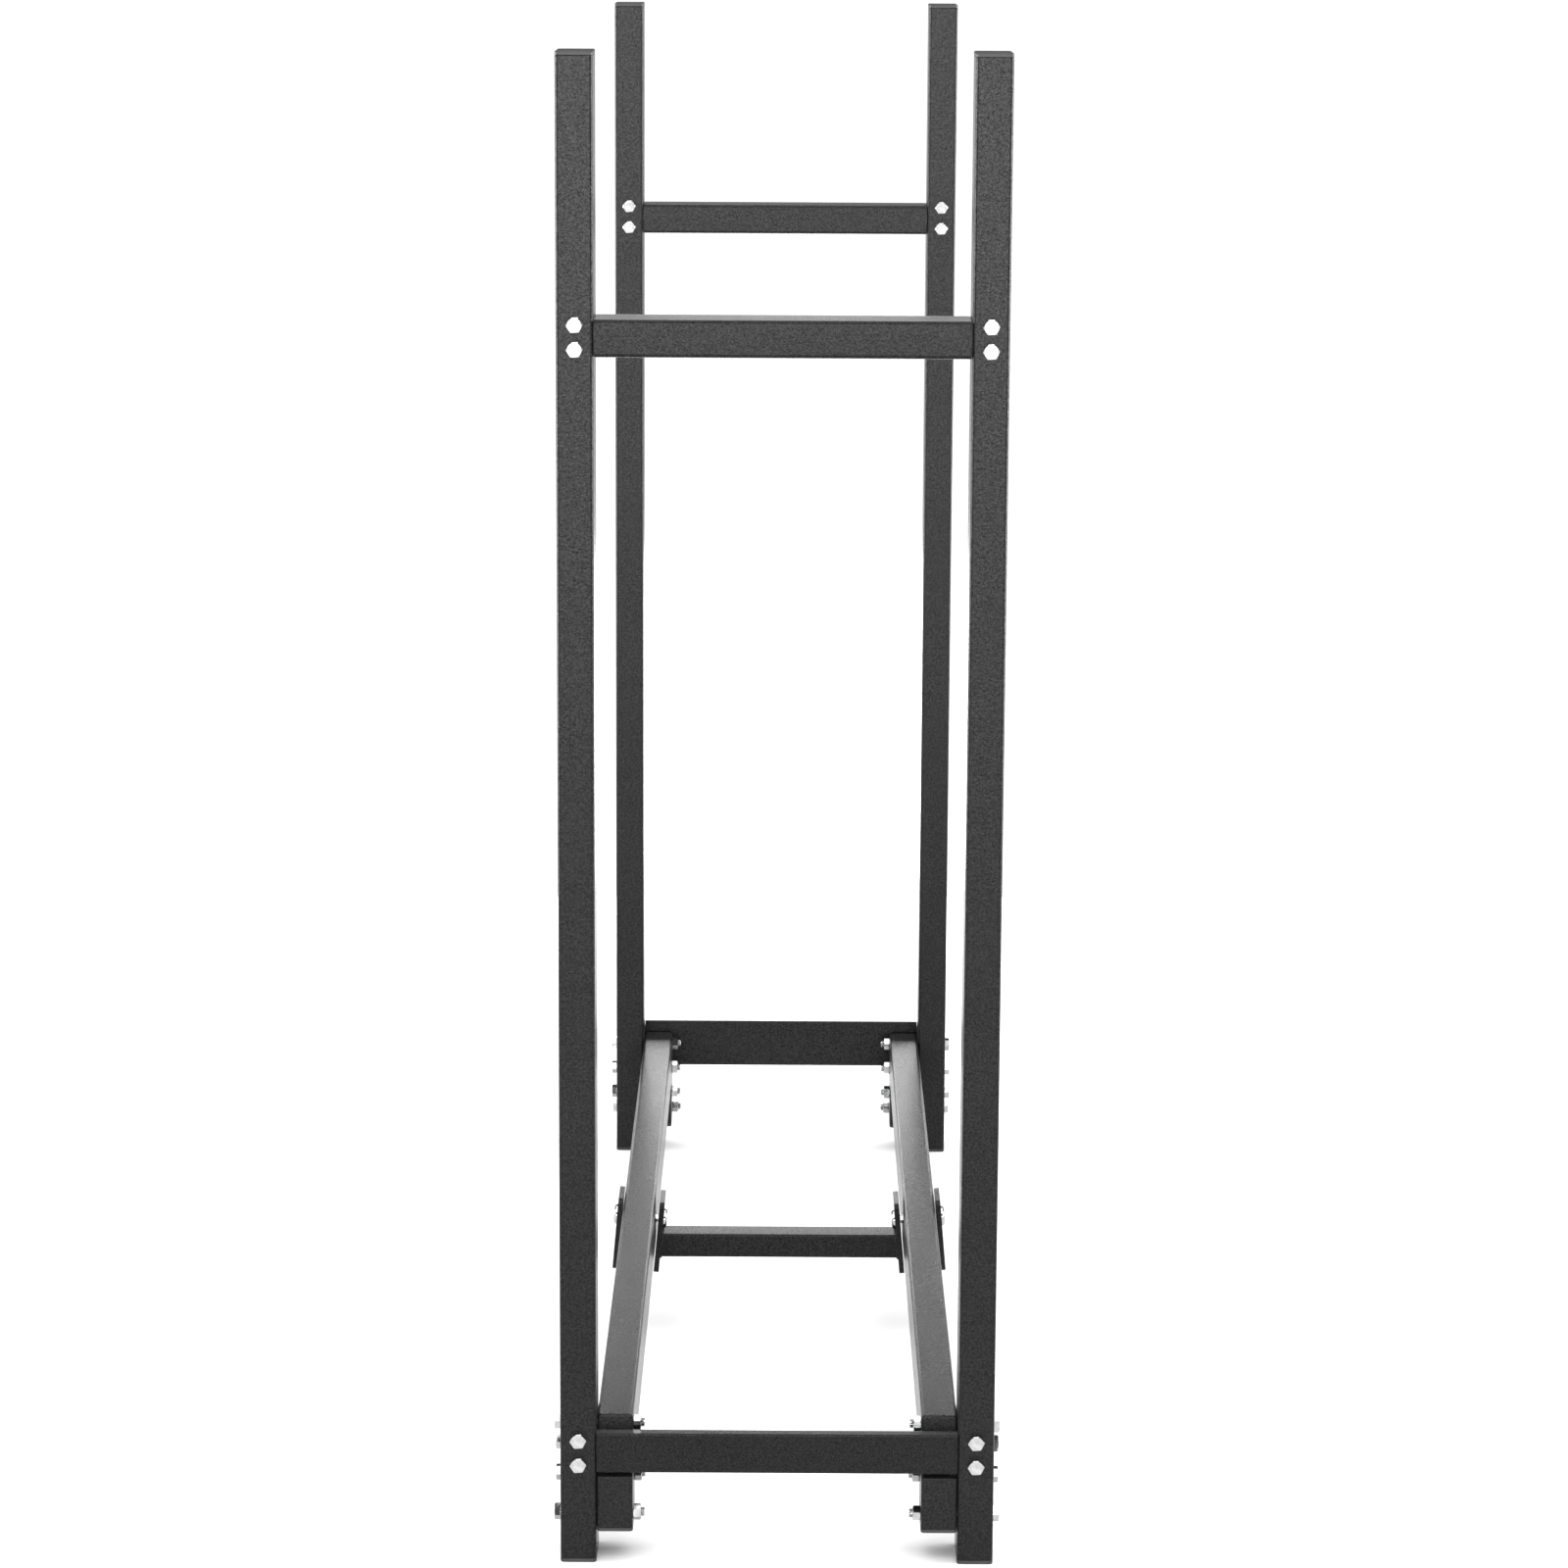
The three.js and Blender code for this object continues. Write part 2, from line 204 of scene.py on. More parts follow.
def powder_coat(name, gloss, sheen, relief):
    """Satin black powder coat: fine grain, a little orange peel, uneven gloss."""
    material, shader, add = new_material(name)
    grain = noise(add, scale=900, detail=2, rough=0.6)
    peel = noise(add, scale=480, detail=2, rough=0.6)
    cloud = noise(add, scale=9, detail=3)
    texture = sum_of(add, grain, peel, share=1.2)
    uneven = sum_of(add, grain, cloud, share=0.3)
    dull, shiny = gloss * GLOSS_IN_PITS, gloss * GLOSS_ON_TOPS
    fine = between(add, grain, low=grey(0.002), high=grey(0.009))
    wide = between(add, cloud, low=grey(0.003), high=grey(0.006))
    finish_with(
        shader,
        Base_Color=blend_colours(add, amount=0.4, first=fine, second=wide),
        Roughness=spread(add, uneven, low=0.25, high=0.33, start=0.4, stop=0.9),
        Specular_IOR_Level=spread(add, texture, low=dull, high=shiny, start=0.8, stop=1.4),
        Sheen_Weight=sheen,
        Sheen_Roughness=0.35,
        Normal=bump(add, texture, strength=relief, distance=0.25 * MM),
    )
    return material


def zinc():
    """Bright zinc plate: pale metal with fine scuffs and a faint cloudy tint."""
    material, shader, add = new_material("zinc_plate")
    cloud = noise(add, scale=240, detail=3)
    scuff = noise(add, scale=1900, detail=3, rough=0.7)
    relief = sum_of(add, scuff, cloud, share=0.5)
    grey_zinc, pale_zinc = (0.34, 0.345, 0.355), (0.47, 0.47, 0.465)
    finish_with(
        shader,
        Base_Color=between(add, cloud, low=grey_zinc, high=pale_zinc),
        Metallic=1.0,
        Roughness=spread(add, scuff, low=0.06, high=0.13),
        Normal=bump(add, relief, strength=0.07, distance=0.08 * MM),
    )
    return material


def moulded_plastic():
    """Black moulded plastic with a spark-eroded grain."""
    material, shader, add = new_material("moulded_plastic")
    grain = noise(add, scale=2300, detail=2, rough=0.65)
    cloud = noise(add, scale=60, detail=2)
    black, near_black = (0.011, 0.011, 0.0115), (0.018, 0.018, 0.0185)
    finish_with(
        shader,
        Base_Color=between(add, cloud, low=black, high=near_black),
        Roughness=spread(add, grain, low=0.46, high=0.62),
        Normal=bump(add, grain, strength=0.3, distance=0.12 * MM),
    )
    return material


def pale_floor():
    """A matt, nearly white studio floor."""
    material, shader, add = new_material("pale_floor")
    cloud = noise(add, scale=1.5, detail=3)
    finish_with(
        shader,
        Base_Color=between(add, cloud, low=(0.86, 0.86, 0.86), high=(0.9, 0.9, 0.9)),
        Roughness=spread(add, cloud, low=0.75, high=0.85),
        Specular_IOR_Level=0.2,
    )
    return material


COAT = powder_coat("powder_coat", gloss=0.16, sheen=0.02, relief=0.65)
DULL_COAT = powder_coat("powder_coat_dull", gloss=0.13, sheen=0.2, relief=0.3)

# Finish: Blender material and the record's material slot.
FINISHES = {
    "steel": (COAT, "powder_coated_steel"),
    "dull steel": (DULL_COAT, "powder_coated_steel"),
    "zinc": (zinc(), "zinc_hardware"),
    "plastic": (moulded_plastic(), "black_plastic"),
}


# ---- Mesh tools ----

CORNER_STEPS = 6
ROD_STEPS = 32
LEAST_CORNER = 0.5 * MM  # least corner radius inside a tube
SAME_POINT = 1e-7  # points nearer than this are merged after a cut


def rounded_rectangle(width, depth, radius, steps=CORNER_STEPS):
    """Points of a rectangle with round corners, in the XY plane, round the origin."""
    points = []
    for corner in range(4):
        middle = math.pi / 4 + corner * math.pi / 2
        x = math.copysign(width / 2 - radius, math.cos(middle))
        y = math.copysign(depth / 2 - radius, math.sin(middle))
        for step in range(steps + 1):
            angle = (corner + step / steps) * math.pi / 2
            points.append((x + radius * math.cos(angle), y + radius * math.sin(angle)))
    return points


def circle(radius, steps):
    """Points of a circle in the XY plane, round the origin, the first of them on +X."""
    angles = [2 * math.pi * step / steps for step in range(steps)]
    return [(radius * math.cos(a), radius * math.sin(a)) for a in angles]


def raised(points, z):
    """Flat points at a height, or at a height for each."""
    heights = z if isinstance(z, list) else [z] * len(points)
    return [Vector((x, y, h)) for (x, y), h in zip(points, heights)]


def loft(bm, rings, closed=False):
    """Faces between rings that hold as many points each. A closed loft joins the last ring
    to the first; an open one gets a face over each end."""
    made = [[bm.verts.new(point) for point in ring] for ring in rings]
    pairs = list(zip(made, made[1:] + made[:1])) if closed else list(zip(made, made[1:]))
    for lower, upper in pairs:
        for i in range(len(lower)):
            j = (i + 1) % len(lower)
            bm.faces.new((lower[i], lower[j], upper[j], upper[i]))
    if not closed:
        bm.faces.new(list(reversed(made[0])))
        bm.faces.new(made[-1])


def turned(axis):
    """Turns +Z to the named axis. Along x, local x lies along -Z; along y, local y does."""
    return {
        "x": Matrix.Rotation(math.pi / 2, 4, "Y"),
        "y": Matrix.Rotation(-math.pi / 2, 4, "X"),
    }[axis]


def tube_mesh(width, depth, length, corner, wall=0.0):
    """A bar along Z round the origin, with its cut edges rounded; hollow if it has a wall."""
    bm = bmesh.new()
    half = length / 2
    outer = rounded_rectangle(width, depth, corner)
    eased = rounded_rectangle(width - 2 * EDGE, depth - 2 * EDGE, max(corner - EDGE, EDGE))
    rings = [
        raised(eased, -half),
        raised(outer, EDGE - half),
        raised(outer, half - EDGE),
        raised(eased, half),
    ]
    if wall:
        inner_corner = max(corner - wall, LEAST_CORNER)
        inner = rounded_rectangle(width - 2 * wall, depth - 2 * wall, inner_corner)
        rings += [raised(inner, half), raised(inner, -half)]
    loft(bm, rings, closed=bool(wall))
    return bm


def rod_mesh(radius, length):
    """A round rod along Z round the origin."""
    bm = bmesh.new()
    loft(bm, [raised(circle(radius, ROD_STEPS), z) for z in (-length / 2, length / 2)])
    return bm


def box_mesh(low, high):
    """A box between two opposite corners."""
    bm = bmesh.new()
    corners = [(low.x, low.y), (high.x, low.y), (high.x, high.y), (low.x, high.y)]
    loft(bm, [raised(corners, low.z), raised(corners, high.z)])
    return bm


def moved(bm, matrix):
    """bm itself, moved by the matrix."""
    bmesh.ops.transform(bm, matrix=matrix, verts=bm.verts)
    return bm


def to_object(name, bm):
    """A new object made of bm, which is used up."""
    bmesh.ops.recalc_face_normals(bm, faces=bm.faces)
    mesh = bpy.data.meshes.new(name)
    bm.to_mesh(mesh)
    bm.free()
    made = bpy.data.objects.new(name, mesh)
    bpy.context.scene.collection.objects.link(made)
    return made


def combine(bm, shapes, operation):
    """bm joined with the shapes, or with the shapes cut out of it."""
    if not shapes:
        return bm
    base = to_object("base", bm)
    helpers = [to_object("helper", shape) for shape in shapes]
    for helper in helpers:
        modifier = base.modifiers.new("combine", "BOOLEAN")
        modifier.operation, modifier.solver, modifier.object = operation, "EXACT", helper
    view = bpy.context.evaluated_depsgraph_get()
    result = bmesh.new()
    result.from_mesh(base.evaluated_get(view).to_mesh())
    for used in [base, *helpers]:
        mesh = used.data
        bpy.data.objects.remove(used)
        bpy.data.meshes.remove(mesh)
    bmesh.ops.remove_doubles(result, verts=result.verts, dist=SAME_POINT)
    return result


def cut(bm, shapes):
    """bm with the shapes cut out of it."""
    return combine(bm, shapes, "DIFFERENCE")


def join(bm, shapes):
    """bm and the shapes as one solid."""
    return combine(bm, shapes, "UNION")


def shade(mesh):
    """Smooth faces, with crisp edges where they turn by more than SHARP."""
    mesh.shade_smooth()
    mesh.set_sharp_from_angle(angle=SHARP)


def add_piece(name, made, finish, nodes, matrix=None):
    """Puts a mesh, or a bmesh, into the rack as a finished piece that stands for nodes."""
    material, slot = FINISHES[finish]
    if isinstance(made, bpy.types.Mesh):
        piece = bpy.data.objects.new(name, made)
        bpy.context.scene.collection.objects.link(piece)
    else:
        piece = to_object(name, made)
        shade(piece.data)
    if not piece.data.materials:
        piece.data.materials.append(material)
    if matrix:
        piece.matrix_world = matrix
    even = piece.modifiers.new("even_shading", "WEIGHTED_NORMAL")
    even.keep_sharp = True
    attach(piece, "root")
    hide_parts(*nodes)
    return piece


# ---- Bolts: their places, from the CAD ----

DRILL_SPARE = 12 * MM  # a drill is longer than its bolt by this
WALL_DRILL = 4 * WALL  # length of a drill through one wall


def middle_and_size(node):
    """Middle and size of a CAD node's box."""
    low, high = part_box(node)
    return (low + high) / 2, high - low


def drills(nodes):
    """A drill along X for each of the bolt nodes."""
    shapes = []
    for node in nodes:
        middle, size = middle_and_size(node)
        drill = rod_mesh(HOLE_RADIUS, size.x + DRILL_SPARE)
        shapes.append(moved(drill, Matrix.Translation(middle) @ turned("x")))
    return shapes


RAIL_BOLTS = ["rail_bolt_upper", "rail_bolt_lower"]
FOOT_BOLTS = ["rail_foot_bolt_upper", "rail_foot_bolt_lower"]

# Crossbar bolts: the bar, its end, and the side of the posts that their heads are on.
CROSSBARS = [
    ("upper_crossbar", "near", -1),
    ("upper_crossbar", "far", -1),
    ("lower_crossbar", "near", -1),
    ("lower_crossbar", "far", 1),
]


def crossbar_bolts(bar, end, side):
    """The nodes of the two bolts that hold a crossbar to the post on one side."""
    return [f"{bar}_bolt_{level}_{end}_{side}" for level in ("low", "high")]


# ---- Posts and their caps ----

TONGUE_INSET = 1 * MM  # a tubular bar's tongue is lower than the bar, above and below
SLOT_REACH = 2 * WALL  # of a tongue's slot, each way from the post's inner face


def wall_y(end, facing):
    """The post's face that the bolt heads are on, and which way the bolts point."""
    low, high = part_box(f"post_{end}_left")
    return (high.y if facing > 0 else low.y), -facing


def tongue_span(bar, end, facing):
    """Lower and upper edge, and the two faces along Y, of a crossbar's tongue."""
    low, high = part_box(f"{bar}_{end}")
    face, inward = wall_y(end, facing)
    if (bar, end) == ("lower_crossbar", "far"):
        middle = (low.z + high.z) / 2
        z = middle - TONGUE_HEIGHT / 2, middle + TONGUE_HEIGHT / 2
    else:
        z = low.z + TONGUE_INSET, high.z - TONGUE_INSET
    first = face + inward * (WALL + TONGUE_SKIN)
    second = first + inward * TONGUE_THICK
    return z, sorted((first, second))


def build_post(end, side):
    """A post, drilled for its bolts and slotted for the crossbars' tongues."""
    low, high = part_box(f"post_{end}_{side}")
    size, middle = high - low, (low + high) / 2
    tube = tube_mesh(size.x, size.y, size.z, CORNER, WALL)
    post = moved(tube, Matrix.Translation(middle))
    tools = drills([f"{name}_{end}_{side}" for name in RAIL_BOLTS + FOOT_BOLTS])
    inner_x = min(low.x, high.x, key=abs)
    for bar, bar_end, facing in CROSSBARS:
        if bar_end != end:
            continue
        face, inward = wall_y(end, facing)
        for node in crossbar_bolts(bar, end, side):
            at, _ = middle_and_size(node)
            spot = Matrix.Translation((at.x, face, at.z)) @ turned("y")
            tools.append(moved(rod_mesh(HOLE_RADIUS, WALL_DRILL), spot))
        (z0, z1), (y0, y1) = tongue_span(bar, end, facing)
        slot_low = Vector((inner_x - SLOT_REACH, y0 - FIT, z0 - FIT))
        slot_high = Vector((inner_x + SLOT_REACH, y1 + FIT, z1 + FIT))
        tools.append(box_mesh(slot_low, slot_high))
    add_piece(f"post_{end}_{side}", cut(post, tools), "steel", [f"post_{end}_{side}"])


CAP_EDGE = 1.1 * MM  # rounding of a cap's rim
CAP_EDGE_STEPS = 5
CAP_FACE_RINGS = (4, 2.5)  # flat rings inside the cap's face, in CAP_EDGE
CAP_LEAST_CORNER = 0.4 * MM
CAP_BACK_EDGE = 0.2 * MM  # bevel behind the head
PLUG_WALL = 2 * MM
PLUG_GAP = 0.7 * MM  # from the tube's wall to the plug
PLUG_TIP = 0.6 * MM  # the plug narrows by this at its tip
PLUG_TIP_LENGTH = 1 * MM
FINS = 3
FIRST_FIN = 0.6  # of the fins' pitch, above the head
FIN_GAP = 0.15 * MM  # from the tube's wall to a fin
FIN_FLAT_FROM, FIN_FLAT_TO, FIN_END = 0.5 * MM, 0.9 * MM, 1.8 * MM  # above the fin's start


def cap_mesh(width, depth, corner, head, plug):
    """A push-in cap: a rounded head from z = 0 to head, and a hollow finned plug above it."""

    def ring(inset, z):
        radius = max(corner - inset, CAP_LEAST_CORNER)
        return raised(rounded_rectangle(width - 2 * inset, depth - 2 * inset, radius), z)

    rings = [ring(inset * CAP_EDGE, 0.0) for inset in CAP_FACE_RINGS]
    for step in range(CAP_EDGE_STEPS + 1):
        angle = step / CAP_EDGE_STEPS * math.pi / 2
        rings.append(ring(CAP_EDGE * (1 - math.sin(angle)), CAP_EDGE * (1 - math.cos(angle))))
    inside = WALL + PLUG_GAP
    fin = WALL + FIN_GAP
    rings += [ring(0, head - CAP_BACK_EDGE), ring(CAP_BACK_EDGE, head), ring(inside, head)]
    pitch = plug / (FINS + 1)
    for index in range(FINS):
        z = head + pitch * (index + FIRST_FIN)
        rings += [ring(inside, z), ring(fin, z + FIN_FLAT_FROM), ring(fin, z + FIN_FLAT_TO)]
        rings.append(ring(inside, z + FIN_END))
    top = head + plug
    hollow = inside + PLUG_WALL
    rings += [ring(inside, top - PLUG_TIP_LENGTH), ring(inside + PLUG_TIP, top)]
    rings.append(ring(hollow, top))
    rings.append(ring(hollow, head))
    bm = bmesh.new()
    loft(bm, rings)
    return bm


def build_post_caps(end, side):
    """The caps under and on top of a post."""
    for level, flip in (("foot", False), ("top", True)):
        node = f"post_{level}_cap_{end}_{side}"
        middle, size = middle_and_size(node)
        post_low, post_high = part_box(f"post_{end}_{side}")
        head = (post_low.z if level == "foot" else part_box(node)[1].z - post_high.z) - FIT / 2
        bm = cap_mesh(size.x, size.y, CORNER, head, size.z - head)
        turn = Matrix.Rotation(math.pi, 4, "X") if flip else Matrix.Identity(4)
        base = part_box(node)[1].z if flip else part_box(node)[0].z
        spot = Matrix.Translation((middle.x, middle.y, base))
        add_piece(node, moved(bm, spot @ turn), "plastic", [node])


# ---- Rails, and the short feet below them ----

END_WALL = 2 * MM  # of a tube whose end is welded shut
RAIL_END_EDGE = 2 * MM  # rounding of the rail's welded ends
RAIL_END_STEPS = 4
FOOT_CAP_HEAD = 3 * MM
FOOT_CAP_PLUG = 6 * MM
SADDLE_DRILL_SPARE = 8 * MM


def closed_bar(width, depth, length, corner, edge):
    """A solid bar along Z round the origin whose ends are rounded by edge."""
    rings = []
    for step in range(RAIL_END_STEPS + 1):
        angle = math.pi / 2 * step / RAIL_END_STEPS
        inset, z = edge * (1 - math.sin(angle)), edge * (1 - math.cos(angle)) - length / 2
        size = width - 2 * inset, depth - 2 * inset
        rings.append((rounded_rectangle(*size, max(corner - inset, LEAST_CORNER)), z))
    rings += [(points, -z) for points, z in reversed(rings)]
    bm = bmesh.new()
    loft(bm, [raised(points, z) for points, z in rings])
    return bm


def build_rail(side):
    """A base rail: a tube with welded ends, drilled for the posts and the saddle bolt."""
    node = f"base_rail_{side}"
    middle, size = middle_and_size(node)
    spot = Matrix.Translation(middle) @ turned("y")
    rail = moved(closed_bar(size.x, size.z, size.y, CORNER, RAIL_END_EDGE), spot)
    width, height, length = size.x - 2 * WALL, size.z - 2 * WALL, size.y - 2 * END_WALL
    inside = tube_mesh(width, height, length, CORNER - WALL)
    drilled = drills([f"{name}_{end}_{side}" for name in RAIL_BOLTS for end in ENDS])
    saddle = Matrix.Translation((middle.x, 0, middle.z + SADDLE_BOLT_RISE)) @ turned("x")
    drilled.append(moved(rod_mesh(SADDLE_HOLE_RADIUS, size.x + SADDLE_DRILL_SPARE), saddle))
    add_piece(node, cut(rail, [moved(inside, spot), *drilled]), "steel", [node])


def build_rail_foot(end, side):
    """A short foot, closed at its top, and the cap in its lower end."""
    node = f"rail_foot_{end}_{side}"
    low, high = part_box(node)
    size, middle = high - low, (low + high) / 2
    bolts = [f"{name}_{end}_{side}" for name in FOOT_BOLTS]
    height = size.z - FOOT_CAP_HEAD
    spot = Matrix.Translation(middle + Z * (FOOT_CAP_HEAD / 2))
    foot = moved(tube_mesh(size.x, size.y, height, CORNER), spot)
    inside = tube_mesh(size.x - 2 * WALL, size.y - 2 * WALL, height, CORNER - WALL)
    moved(inside, spot @ Matrix.Translation(-END_WALL * Z))
    add_piece(node, cut(foot, [inside, *drills(bolts)]), "steel", [node])
    cap = cap_mesh(size.x, size.y, CORNER, FOOT_CAP_HEAD, FOOT_CAP_PLUG)
    moved(cap, Matrix.Translation((middle.x, middle.y, low.z)))
    add_piece(f"rail_foot_cap_{end}_{side}", cut(cap, drills(bolts)), "plastic", [node])


# ---- Crossbars ----

FLAT_BAR_CORNER = 1 / 4  # corner radius of the flat bar, of its thickness
BAR_CORNER = 1 / 8  # of a tubular bar, of its depth, where that is less than CORNER
TONGUE_SLACK = 0.02 * MM  # keeps the flat bar's tongues off its own faces
TONGUE_DRILL = 3 * TONGUE_THICK


def build_crossbar(bar, end, facing):
    """A crossbar with a drilled tongue at each end. The far lower bar is flat."""
    node = f"{bar}_{end}"
    low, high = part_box(node)
    length = 2 * (-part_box(f"post_{end}_left")[1].x - FIT)
    (z0, z1), (y0, y1) = tongue_span(bar, end, facing)
    height = high.z - low.z
    middle_z = (low.z + high.z) / 2
    flat_bar = (bar, end) == ("lower_crossbar", "far")
    if flat_bar:
        y, depth, slack = (y0 + y1) / 2, TONGUE_THICK, TONGUE_SLACK
        body = tube_mesh(height, depth, length, depth * FLAT_BAR_CORNER)
    else:
        y, depth, slack = (low.y + high.y) / 2, high.y - low.y, 0
        body = tube_mesh(height, depth, length, min(CORNER, depth * BAR_CORNER), WALL)
    moved(body, Matrix.Translation((0, y, middle_z)) @ turned("x"))
    tongues, tools = [], []
    for side, sx in SIDES.items():
        ends = sorted((sx * (length / 2 - TONGUE_WELD), sx * (length / 2 + TONGUE_REACH)))
        low_corner = Vector((ends[0], y0 + slack, z0))
        high_corner = Vector((ends[1], y1 - slack, z1))
        tongues.append(box_mesh(low_corner, high_corner))
        for bolt in crossbar_bolts(bar, end, side):
            at, _ = middle_and_size(bolt)
            spot = Matrix.Translation((at.x, (y0 + y1) / 2, at.z)) @ turned("y")
            tools.append(moved(rod_mesh(HOLE_RADIUS, TONGUE_DRILL), spot))
    finish = "steel" if end == "far" else "dull steel"  # the near end's bars look duller
    add_piece(node, cut(join(body, tongues), tools), finish, [node])


# ---- Middle tie and its saddle plates ----

PLATE_DRILL = 3 * PLATE_THICK


def leaning(side):
    """The frame of a saddle, round the rail's middle: it leans with the saddle's plates."""
    middle, _ = middle_and_size(f"base_rail_{side}")
    lean = Matrix.Rotation(-SIDES[side] * PLATE_LEAN, 4, "Y")
    return Matrix.Translation((middle.x, 0, middle.z)) @ lean


def plate_mesh(side, outward):
    """A saddle plate on the rail's outer side, or with outward -1 on its inner side."""
    sx = SIDES[side]
    height = PLATE_ABOVE + PLATE_BELOW
    x = sx * outward * (PLATE_GAP + PLATE_THICK / 2)
    plate = tube_mesh(height, PLATE_LENGTH, PLATE_THICK, PLATE_CORNER)
    spot = Matrix.Translation((x, 0, (PLATE_ABOVE - PLATE_BELOW) / 2))
    moved(plate, spot @ turned("x"))
    drill = Matrix.Translation((x, 0, SADDLE_BOLT_RISE)) @ turned("x")
    plate = cut(plate, [moved(rod_mesh(HOLE_RADIUS, PLATE_DRILL), drill)])
    return moved(plate, leaning(side))


BEAD_RADIUS = 1.7 * MM
BEAD_RIPPLE = 2.2 * MM  # distance between the ripples of a weld bead
BEAD_SWELL = 0.13  # height of a ripple, of the bead's radius
BEAD_STEP = 0.5 * MM  # between the bead's rings
BEAD_SIDES = 10
BEAD_CORNER_STEPS = 4


def weld_bead(side):
    """A weld bead round the end of the tie, on the face of its saddle plate."""
    sx = SIDES[side]
    middle, _ = middle_and_size(f"base_rail_{side}")
    tie_z = TIE_BOTTOM + TIE_HEIGHT / 2
    outline = rounded_rectangle(TIE_DEPTH, TIE_HEIGHT, TIE_CORNER, BEAD_CORNER_STEPS)
    corners = [Vector(point) for point in outline]
    path = []
    for first, second in zip(corners, corners[1:] + corners[:1]):
        pieces = max(1, round((second - first).length / BEAD_STEP))
        path += [first.lerp(second, step / pieces) for step in range(pieces)]
    plate_x = -sx * (PLATE_GAP + PLATE_THICK)
    rings, travelled = [], 0.0
    for index, (y, z) in enumerate(path):
        before, after = path[index - 1], path[(index + 1) % len(path)]
        along = (after - before).normalized()
        out = Vector((along.y, -along.x))
        travelled += (path[index] - before).length
        swell = 1 + BEAD_SWELL * math.cos(2 * math.pi * travelled / BEAD_RIPPLE)
        radius = BEAD_RADIUS * swell
        height = tie_z + z
        lift = (height - middle.z) * math.tan(PLATE_LEAN)
        x = middle.x + plate_x / math.cos(PLATE_LEAN) - sx * lift
        centre = Vector((x, y, height))
        ring = []
        for step in range(BEAD_SIDES):
            angle = 2 * math.pi * step / BEAD_SIDES
            sideways = out * (radius * math.cos(angle))
            ring.append(centre + Vector((radius * math.sin(angle), *sideways)))
        rings.append(ring)
    bm = bmesh.new()
    loft(bm, rings, closed=True)
    return bm


def build_tie():
    """The middle tie with its inner saddle plates, the weld beads and the outer plates."""
    ends = {}
    for side, sx in SIDES.items():
        middle, _ = middle_and_size(f"base_rail_{side}")
        drop = middle.z - (TIE_BOTTOM + TIE_HEIGHT / 2)
        lean_out = sx * drop * math.tan(PLATE_LEAN)
        ends[side] = middle.x - sx * (PLATE_GAP + PLATE_THICK / 2) + lean_out
    length = ends["right"] - ends["left"]
    tie = tube_mesh(TIE_HEIGHT, TIE_DEPTH, length, TIE_CORNER, WALL)
    moved(tie, Matrix.Translation((0, 0, TIE_BOTTOM + TIE_HEIGHT / 2)) @ turned("x"))
    vent = moved(rod_mesh(TIE_VENT_RADIUS, WALL_DRILL), Matrix.Translation((0, 0, TIE_BOTTOM)))
    tie = join(cut(tie, [vent]), [plate_mesh(side, -1) for side in SIDES])
    add_piece("mid_tie", tie, "dull steel", ["mid_tie"])
    for side in SIDES:
        add_piece(f"mid_tie_weld_{side}", weld_bead(side), "dull steel", ["mid_tie"])
        node = f"saddle_plate_{side}"
        add_piece(node, plate_mesh(side, 1), "steel", [node])


# ---- Bolts and nuts ----

HEX_STEPS = 72
CHAMFER = math.radians(30)
FACE_RADIUS = 0.475 * FLATS  # flat circle inside the chamfer
FACE_RING = 0.35  # ring inside a head's face, of its radius
BEARING = 0.4 * MM  # washer face under a head
SHANK = 0.98 * BOLT_RADIUS  # plain shank of a bolt
NUT_CLEARANCE = 0.04 * MM
NUT_MOUTH = 0.5 * MM  # countersink of a nut's bore


def hexagon_radius(angle):
    """From the middle of the hexagon to its side; a corner lies at angle 0."""
    off_corner = abs((angle + math.pi / 6) % (math.pi / 3) - math.pi / 6)
    return FLATS / 2 / math.cos(math.pi / 6 - off_corner)


HEX_ANGLES = [2 * math.pi * step / HEX_STEPS for step in range(HEX_STEPS)]
HEX_RADII = [hexagon_radius(angle) for angle in HEX_ANGLES]
HEXAGON = [
    (radius * math.cos(angle), radius * math.sin(angle))
    for angle, radius in zip(HEX_ANGLES, HEX_RADII)
]
HEX_DROP = [(radius - FACE_RADIUS) * math.tan(CHAMFER) for radius in HEX_RADII]

THREAD_PITCH = 1.25 * MM
THREAD_DEPTH = 0.65 * MM
THREAD_LENGTH = NUT_HEIGHT + THREAD_SHOWN + 2 * MM  # the nut's, what shows, and a little more
THREAD_STEPS = 8  # rings for each turn


